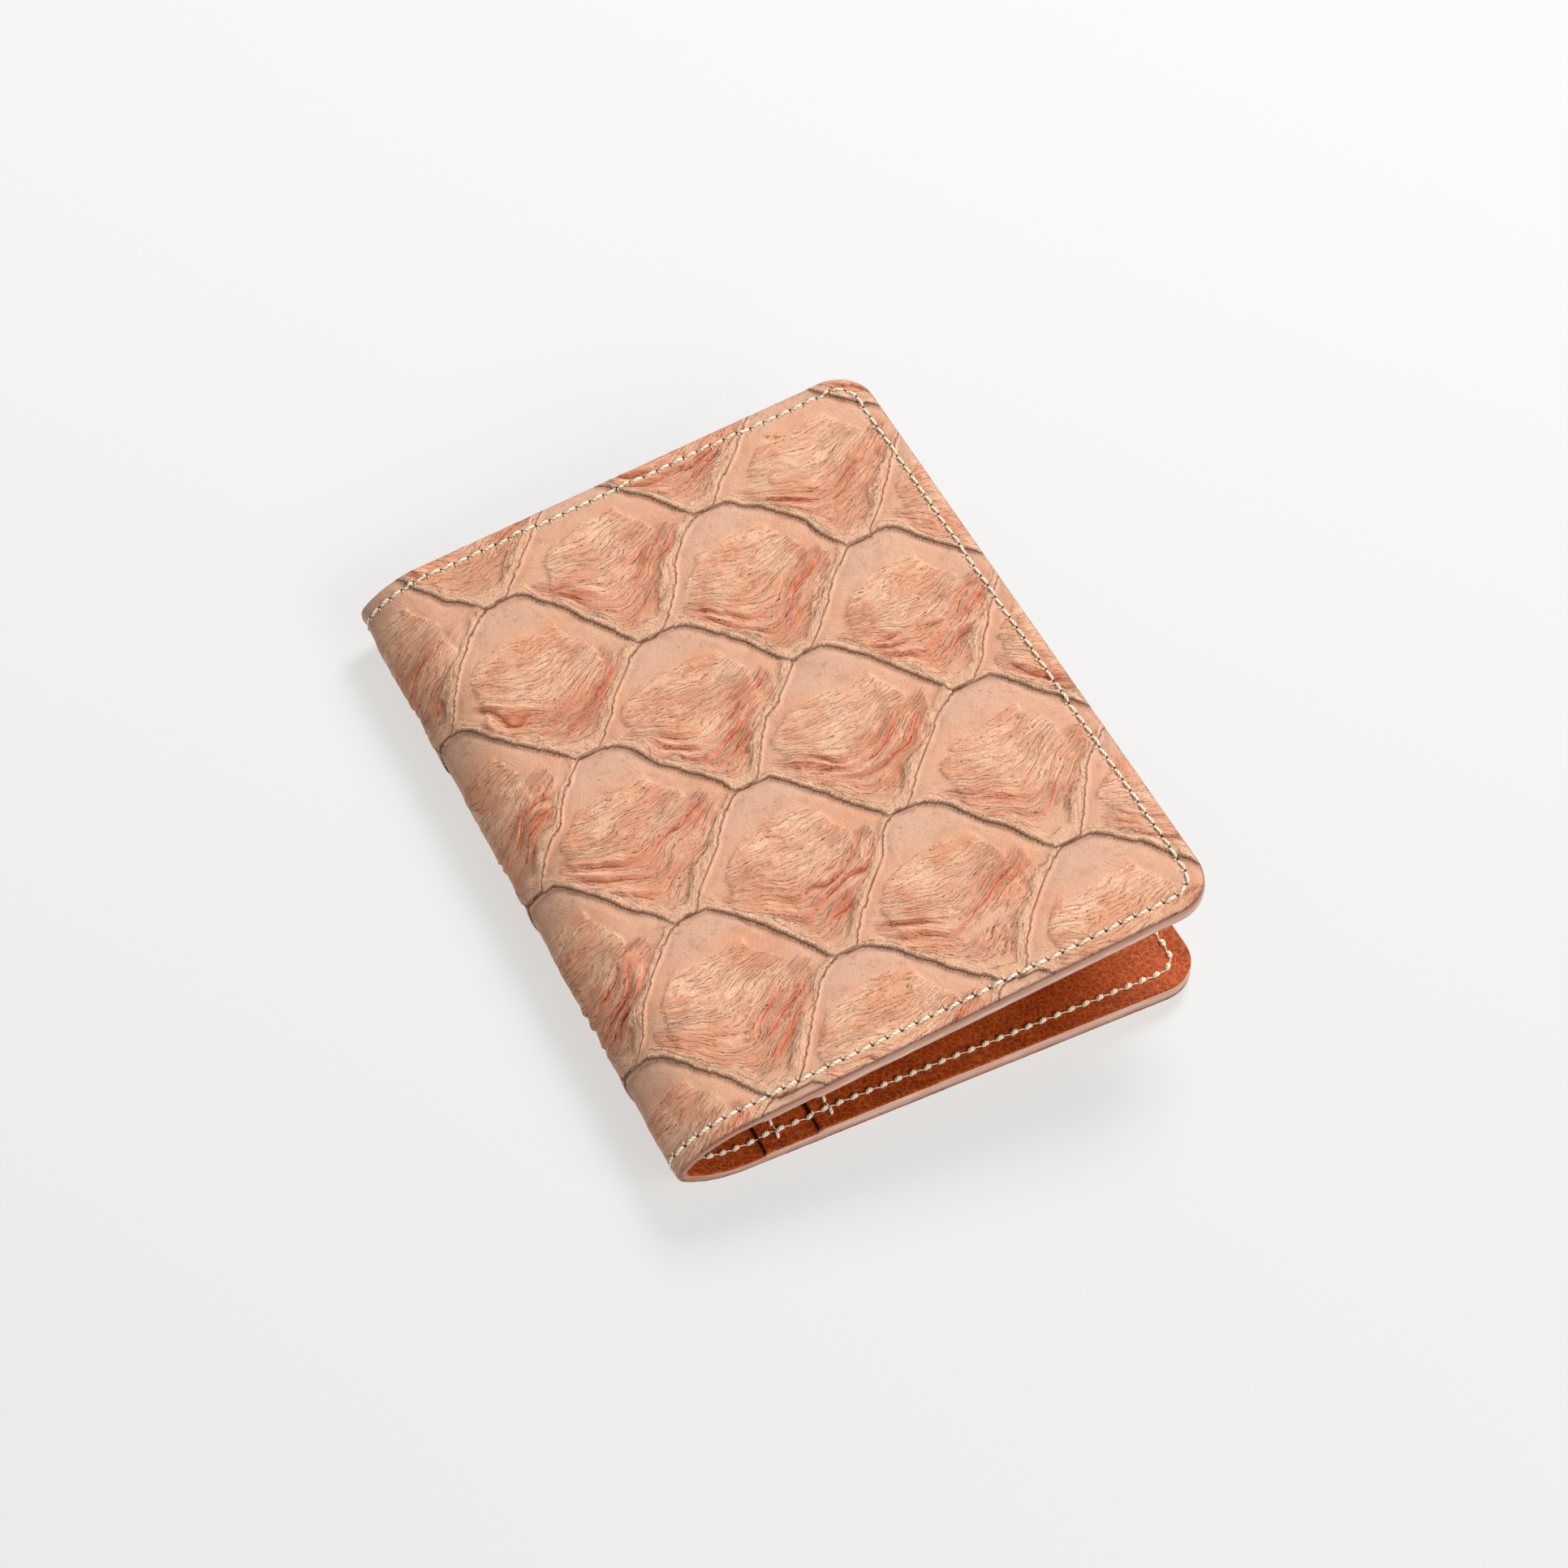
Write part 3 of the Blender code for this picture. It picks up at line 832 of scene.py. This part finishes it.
def thread_material():
    """Cream waxed thread with its twist, and painted shade in the groove between its plies."""
    n = Nodes("thread")
    _, ply, _, along = n.split("twist")
    fibres = n.noise(n.stretch(along, (6.0, 3.0, 1.0)), 1.0, 3.0)
    # painted shade: darker in the groove where the plies meet
    colour = n.mix(n.ramp(ply, 0.1, 0.75), linear(200, 172, 130), linear(246, 238, 214))
    colour = n.mix(n.ramp(fibres, 0.55, 0.75, 0.0, 0.35), colour, linear(216, 190, 150))
    normal = n.bump(fibres, 0.04, 0.6)
    return n.finish(colour, 0.62, normal, specular=0.35, sheen=0.1)


def fibre_board():
    n = Nodes("stiffener_board")
    flecks = n.noise(n.stretch(n.place(), (1.0, 0.3, 1.0)), 0.7, 4.0, 0.65)
    colour = n.mix(n.ramp(flecks, 0.35, 0.65), linear(150, 126, 98), linear(190, 166, 134))
    return n.finish(colour, 0.85, n.bump(flecks, 0.06, 0.5), specular=0.2)


NEAR_GLOW = (0.592, 0.583, 0.570, 1.0)
FAR_GLOW = (0.655, 0.649, 0.634, 1.0)
FLOOR_COLOUR = (0.215, 0.215, 0.215, 1.0)


def floor_material():
    """Pale sheet, a little brighter away from the camera; it glows, so that shadows stay faint."""
    n = Nodes("floor")
    away = (-math.sin(CAMERA_AZIMUTH), math.cos(CAMERA_AZIMUTH), 0.0)
    distance = n.new("VectorMath", {0: n.place(), 1: away}, operation="DOT_PRODUCT")["Value"]
    glow = n.mix(n.ramp(distance, -190.0, 230.0), NEAR_GLOW, FAR_GLOW)
    n.fill(n.shader, {"Emission Color": glow, "Emission Strength": 1.0})
    return n.finish(FLOOR_COLOUR, 0.9, specular=0.0)


# ---- Leather and edges ----

SKIN_STEP = 0.43
ROLL_RADIUS = 0.38
RIM_ABOVE_PAINT = 0.24
PRESS_WIDTH = 0.9
PRESS_DEPTH = 0.16
HIGHEST = 0.5  # no ridge stands out past the CAD's outer line


def pressed(rim, inset):
    """How far the row of stitches pulls the leather in."""
    return PRESS_DEPTH * np.exp(-(((rim - inset) / PRESS_WIDTH) ** 2))


def skin_depth(cover, e, y):
    """(depth, masks) of the outer leather's face, before its edge rolls over."""
    t = -cover.direction * (cover.length - e)
    height, masks = skin_relief(t, y)
    rim = rim_distance(e, y)
    height = np.minimum(height * smooth(rim, -0.4, 1.6), HIGHEST) - pressed(rim, OUTSIDE_INSET)
    return SKIN_DEPTH - height, masks


def build_skin(cover, material):
    grid = SheetGrid(cover, cover.length, SKIN_STEP)
    depth, masks = skin_depth(cover, grid.e, grid.y)
    depth = depth + roll(grid.rim, ROLL_RADIUS)
    edge_depth = SKIN_DEPTH + ROLL_RADIUS
    rings = (
        (0.0, edge_depth + 0.1),
        (-0.12, edge_depth + 0.22),
        (-0.7, edge_depth + 0.24),
        (-1.0, SKIN_BACK),
    )
    name = cover.name + "_scale_leather"
    piece = sheet_mesh(name, grid, depth, rings, material, flip=cover.direction > 0)
    level = (0.0,) * len(rings)
    for mask, columns in masks.items():
        add_attribute(piece, mask, [grid.with_rings(values, level) for values in columns])
    pitch, _ = spread_stitches(seam_length(cover, OUTSIDE_INSET))
    run = seam_run(cover, grid.e, grid.y, OUTSIDE_INSET)
    phase = (run + pitch / 2) % pitch - pitch / 2
    rim = grid.with_rings(grid.rim, (-0.5, -0.8, -1.2, -1.6))
    add_attribute(piece, "seam", [rim, grid.with_rings(phase, level)])
    cover.blend(piece)
    return piece


def face_depth(cover, e):
    """Depth of the innermost face at e, which changes at each pocket's mouth."""
    depth = np.full(np.shape(e), LINING_FACE)
    for mouth, face in zip(POCKET_MOUTHS, POCKET_FACES):
        depth = np.where(e < cover.from_fold(mouth), face, depth)
    return depth


def stack_depth(cover, e):
    """Depth of the painted edge's inner side at e, just under the rim of the innermost leather."""
    faces = np.array((LINING_FACE, *POCKET_FACES)) - RIM_ABOVE_PAINT
    depth = np.full(np.shape(e), faces[0])
    for mouth, step in zip(POCKET_MOUTHS, np.diff(faces)):
        at = cover.from_fold(mouth)
        depth = depth + step * smooth(e, at + 0.6, at - 0.6)
    return depth


BAND_SECTION = (  # (outward, share of the way from the leather's edge to the inner face)
    (-1.1, 0.0),
    (-0.2, 0.0),
    (-0.02, 0.08),
    (0.06, 0.28),
    (0.08, 0.5),
    (0.07, 0.75),
    (0.0, 0.93),
    (-0.12, 1.0),
    (-0.6, 1.0),
    (-1.1, 0.85),
)


def build_edge(cover, material):
    """The painted edge: a closed band round a cover's outline."""
    total = seam_length(cover, 0.0)
    count = round(total / 0.6)
    run = np.linspace(0.0, total, count + 1)
    e, y, out_e, out_y = seam_point(cover, run, 0.0)
    start = SKIN_DEPTH + ROLL_RADIUS + 0.04
    end = stack_depth(cover, e)
    points, across = [], []
    rough = 0.05 * noise(run / 3.0, run * 0 + cover.direction, 41)
    rough += 0.03 * noise(run / 0.9, run * 0, 42)
    for out, share in BAND_SECTION:
        out_here = out + rough * (out > -0.3)
        down = share * (end - start)
        points.append(place(cover.s(e + out_here * out_e), y + out_here * out_y, start + down))
        across.append(down)
    size = len(BAND_SECTION)
    points = np.stack(points, axis=1).reshape(-1, 3)
    number = np.arange(len(run) * size).reshape(len(run), size)
    after = np.roll(number, -1, axis=1)
    faces = quads(number[:-1], after[:-1], after[1:], number[1:])
    faces += [number[0, ::-1].tolist(), number[-1].tolist()]
    if cover.direction > 0:
        faces = [face[::-1] for face in faces]
    piece = add_mesh(cover.name + "_edge_paint", points, faces, material)
    across = np.stack(across, axis=1).ravel()
    by_fold = smooth(e, cover.length - 14.0, cover.length - 3.0)
    add_attribute(piece, "edge", [across, np.repeat(run, size), np.repeat(by_fold, size)])
    cover.blend(piece)
    return piece


INNER_STEP = 1.0
INNER_ROLL = 0.26
MOUTH_LIFT = 0.22
MOUTH_STATIONS = (0.0, 0.03, 0.1, 0.2, 0.4)
FAR_FROM_MOUTH = 9.0


def inner_relief(e, y):
    """Slight waviness of the smooth inner leather."""
    return 0.05 * noise(e / 17.0, y / 17.0, 51) + 0.02 * noise(e / 5.0, y / 5.0, 52)


def build_inner_sheet(cover, name, end_e, face, back, material, end_stations, next_mouth):
    """A sheet of the inside. next_mouth is e of the mouth of the pocket that covers it, or None."""
    grid = SheetGrid(cover, end_e, INNER_STEP, end_stations, inset=0.08)
    fall = roll(grid.rim, INNER_ROLL)
    if end_e < cover.length:
        fall = np.maximum(fall, roll(end_e - grid.e, INNER_ROLL))
        fall = fall - MOUTH_LIFT * smooth(end_e - grid.e, 3.0, 0.3) * smooth(grid.rim, 2.0, 6.0)
    depth = face - fall - pressed(grid.rim, INSIDE_INSET) * 0.8 + inner_relief(grid.e, grid.y)
    rings = ((-0.02, (face - INNER_ROLL + back) / 2), (-0.1, back))
    piece = sheet_mesh(f"{cover.name}_{name}", grid, depth, rings, material, flip=cover.direction < 0)
    # past_mouth places the material's painted shade along the mouth of the pocket that covers this sheet
    past_mouth = FAR_FROM_MOUTH
    if next_mouth is not None:
        past_mouth = np.clip(grid.e - next_mouth, -FAR_FROM_MOUTH, FAR_FROM_MOUTH)
    add_attribute(piece, "mouth", [grid.with_rings(past_mouth, (0.0, 0.0))])
    return piece


def build_inside(cover, material):
    mouths = [cover.from_fold(mouth) for mouth in POCKET_MOUTHS]
    lining = build_inner_sheet(
        cover, "lining_leather", cover.length, LINING_FACE, LINING_BACK, material, (0.0, 0.05), mouths[0]
    )
    cover.blend(lining)
    for number, (mouth, face) in enumerate(zip(POCKET_MOUTHS, POCKET_FACES), 1):
        end_e = cover.from_fold(mouth)
        back = face - POCKET_THICKNESS
        next_mouth = mouths[number] if number < len(mouths) else None
        sheet = build_inner_sheet(
            cover, f"card_pocket_{number}", end_e, face, back, material, MOUTH_STATIONS, next_mouth
        )
        cover.ride(sheet)
        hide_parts(f"{cover.name}_pocket_{number}")
    return lining


# ---- Stitches ----


THREAD_RINGS = 13
THREAD_SIDES = 12
THREAD_TURNS = 3.2


def thread_tubes(centres, across, radius):
    """(points, faces, marks) of many short lengths of two-ply thread.

    centres is (stitches, rings, 3) in s, y, depth; across is (stitches, rings, 2), the sideways
    direction in s, y; radius is (rings,), closing to almost nothing at each end. marks are each
    point's place along the thread, how far its ply stands out, and its angle.
    """
    stitches, rings, _ = centres.shape
    angle = np.linspace(0.0, 2 * math.pi, THREAD_SIDES, endpoint=False)
    along = np.linspace(0.0, 1.0, rings)
    ply = np.abs(np.cos(angle[None, :] - math.pi * THREAD_TURNS * along[:, None]))
    size = radius[:, None] * (0.74 + 0.30 * ply)
    side = size * np.cos(angle)[None, :]
    lift = size * np.sin(angle)[None, :] * 0.85
    s = centres[:, :, None, 0] + across[:, :, None, 0] * side
    y = centres[:, :, None, 1] + across[:, :, None, 1] * side
    depth = centres[:, :, None, 2] + lift
    points = place(s, y, depth).reshape(-1, 3)
    shape = (stitches, rings, THREAD_SIDES)
    number = np.arange(stitches * rings * THREAD_SIDES).reshape(shape)
    after = np.roll(number, -1, axis=2)
    faces = quads(number[:, :-1], after[:, :-1], after[:, 1:], number[:, 1:])
    faces += number[:, 0, ::-1].tolist() + number[:, -1].tolist()
    place_along = along[None, :, None] + 3.0 * np.arange(stitches)[:, None, None]
    marks = [np.broadcast_to(values, shape).ravel() for values in (place_along, ply, angle)]
    return points, faces, marks


def thread_piece(name, tubes, material):
    """One piece from several sets of thread_tubes."""
    points, faces, marks, start = [], [], [], 0
    for tube_points, tube_faces, tube_marks in tubes:
        points.append(tube_points)
        faces += [[corner + start for corner in face] for face in tube_faces]
        marks.append(tube_marks)
        start += len(tube_points)
    piece = add_mesh(name, np.concatenate(points), faces, material, sharp=180.0)
    add_attribute(piece, "twist", [np.concatenate(columns) for columns in zip(*marks)])
    return piece


# How the lengths of thread in a row lie
Thread = namedtuple("Thread", "radius sunk slant height", defaults=(0.55,))
OUTSIDE_THREAD = Thread(radius=0.31, sunk=0.42, slant=0.34)
INSIDE_THREAD = Thread(radius=0.5, sunk=0.5, slant=0.3)
HEM_THREAD = Thread(radius=0.36, sunk=0.4, slant=0.25)
LINK_THREAD = Thread(radius=0.11, sunk=0.1, slant=-0.3, height=0.8)
TICK_THREAD = Thread(radius=0.12, sunk=0.15, slant=0.0, height=1.5)


def lay_stitches(cover, seed, line, starts, length, surface, thread, outside):
    """Thread from each start to start + length along line(run) -> (e, y, out_e, out_y)."""
    share = np.linspace(0.0, 1.0, THREAD_RINGS)
    generator = np.random.default_rng(seed)
    jitter = generator.uniform(-1.0, 1.0, (len(starts), 1))
    run = starts[:, None] + share[None, :] * length
    e, y, out_e, out_y = line(run)
    shift = thread.slant * (0.5 - share)[None, :] + 0.05 * jitter
    e, y = e + shift * out_e, y + shift * out_y
    rise = (np.sin(math.pi * share) ** 0.45)[None, :]
    lift = thread.radius * (thread.height + 0.12 * jitter) * rise - thread.sunk * (1 - rise)
    toward = -1.0 if outside else 1.0
    depth = surface(e, y) + toward * lift
    taper = np.clip(np.sin(math.pi * share), 0.0, 1.0) ** 0.3
    taper[[0, -1]] = 0.25
    centres = np.stack([cover.s(e), y, depth], axis=-1)
    across = np.stack([cover.direction * out_e, out_y], axis=-1)
    return thread_tubes(centres, across, thread.radius * taper)


def seam_row(cover, inset):
    """(line, pitch, starts) of the stitches round a cover."""

    def line(run):
        return seam_point(cover, run, inset)

    return line, *spread_stitches(seam_length(cover, inset))


def build_outside_stitches(cover, material):
    """A row of stitches with a short end of thread standing up beside each hole."""

    def surface(e, y):
        return skin_depth(cover, e, y)[0]

    def tick_line(run):
        """Runs inwards from each stitch hole."""
        hole = np.round(run / pitch) * pitch
        e, y, out_e, out_y = line(hole)
        inward = 0.1 + (run - hole)
        return e - inward * out_e, y - inward * out_y, out_y, -out_e

    line, pitch, starts = seam_row(cover, OUTSIDE_INSET)
    stitches = lay_stitches(cover, 1, line, starts + 0.11, pitch - 0.22, surface, OUTSIDE_THREAD, True)
    ticks = lay_stitches(cover, 2, tick_line, starts, 0.75, surface, TICK_THREAD, True)
    piece = thread_piece(cover.name + "_stitches_outside", (stitches, ticks), material)
    cover.blend(piece)
    return piece


def build_inside_stitches(cover, material):
    """Short fat stitches with thin thread showing between them."""

    def surface(e, y):
        return face_depth(cover, e) - pressed(rim_distance(e, y), INSIDE_INSET) * 0.8

    line, pitch, starts = seam_row(cover, INSIDE_INSET)
    stitches = lay_stitches(cover, 3, line, starts + 0.5, pitch - 1.0, surface, INSIDE_THREAD, False)
    links = lay_stitches(cover, 4, line, starts[1:] - 0.75, 1.5, surface, LINK_THREAD, False)
    piece = thread_piece(cover.name + "_stitches_inside", (stitches, links), material)
    cover.blend(piece)
    return piece


def build_hems(cover, material):
    """The row of stitches beside each pocket's mouth, across the whole sheet."""
    end_inset = 1.6
    pitch, starts = spread_stitches(HEIGHT - 2 * end_inset)
    starts += end_inset
    for number, (mouth, face) in enumerate(zip(POCKET_MOUTHS, POCKET_FACES), 1):
        row_e = cover.from_fold(mouth + HEM_FROM_MOUTH)

        def line(run):
            return np.full(run.shape, row_e), run, np.full(run.shape, 1.0), np.zeros(run.shape)

        def surface(e, y):
            return np.full(np.shape(e), face)

        stitches = lay_stitches(cover, 5, line, starts + 0.35, pitch - 0.7, surface, HEM_THREAD, False)
        links = lay_stitches(cover, 6, line, starts[1:] - 0.5, 1.0, surface, LINK_THREAD, False)
        piece = thread_piece(f"{cover.name}_pocket_{number}_hem_stitches", (stitches, links), material)
        cover.ride(piece)
        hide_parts(f"{cover.name}_pocket_{number}_hem_stitching")


# ---- The whole wallet, its stage and the camera ----


def build_wallet():
    leather = scale_leather()
    inner = inner_leather()
    paint = edge_paint()
    thread = thread_material()
    board = fibre_board()
    for cover in COVERS:
        skin = build_skin(cover, leather)
        build_edge(cover, paint)
        lining = build_inside(cover, inner)
        outside = build_outside_stitches(cover, thread)
        inside = build_inside_stitches(cover, thread)
        build_hems(cover, thread)
        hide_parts(cover.name + "_outer_leather")
        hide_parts(cover.name + "_lining")
        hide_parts(cover.name + "_stitching_outside")
        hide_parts(cover.name + "_stitching_inside")
        if cover is BACK:
            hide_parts("spine_outer_leather")
            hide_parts("spine_lining")
            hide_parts("spine_near_stitching_outside", "spine_far_stitching_outside")
            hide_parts("spine_near_stitching_inside", "spine_far_stitching_inside")
        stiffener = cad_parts[cover.name + "_stiffener"]
        stiffener.data.materials.clear()
        stiffener.data.materials.append(board)


FLOOR_HALF = 3.0
FLOOR_DROP = 0.00031  # the ridges of the back cover rest on the floor
WORLD_STRENGTH = 0.145
LIGHTS = (  # (name, place, width and height, power)
    ("key", (0.95, 0.85, 1.15), (0.7, 0.7), 33.5),
    ("fill", (-0.9, -0.5, 0.9), (1.2, 1.2), 1.0),
    ("front", (0.45, -1.05, 0.75), (1.2, 0.6), 14.5),
)


def add_area_light(name, place_at, size, power):
    """A soft light that points at the origin."""
    data = bpy.data.lights.new(name, "AREA")
    data.shape = "RECTANGLE"
    data.size, data.size_y = size
    data.energy = power
    light = add_object(name, data)
    light.location = place_at
    light.rotation_euler = (-Vector(place_at)).to_track_quat("-Z", "Y").to_euler()


def build_stage():
    corners = ((-1, -1), (1, -1), (1, 1), (-1, 1))
    points = np.array([(FLOOR_HALF * x, FLOOR_HALF * y, -FLOOR_DROP) for x, y in corners])
    floor = add_mesh("floor", points, [(0, 1, 2, 3)], floor_material())
    world = bpy.data.worlds.new("studio")
    bpy.context.scene.world = world
    world.use_nodes = True
    background = world.node_tree.nodes["Background"]
    background.inputs["Color"].default_value = (1.0, 0.995, 0.985, 1.0)
    background.inputs["Strength"].default_value = WORLD_STRENGTH
    for name, place_at, size, power in LIGHTS:
        add_area_light(name, place_at, size, power)


def build_camera():
    data = bpy.data.cameras.new("camera")
    data.lens = CAMERA_LENS
    data.sensor_width = 36.0
    camera = add_object("camera", data)
    level = math.cos(CAMERA_ELEVATION)
    back = Vector(
        (math.sin(CAMERA_AZIMUTH) * level, -math.cos(CAMERA_AZIMUTH) * level, math.sin(CAMERA_ELEVATION))
    )
    camera.location = CAMERA_TARGET + back * CAMERA_DISTANCE
    camera.rotation_euler = (-back).to_track_quat("-Z", "Y").to_euler()
    bpy.context.scene.camera = camera
    bpy.context.scene.view_settings.view_transform = "Standard"


build_wallet()
build_stage()
build_camera()
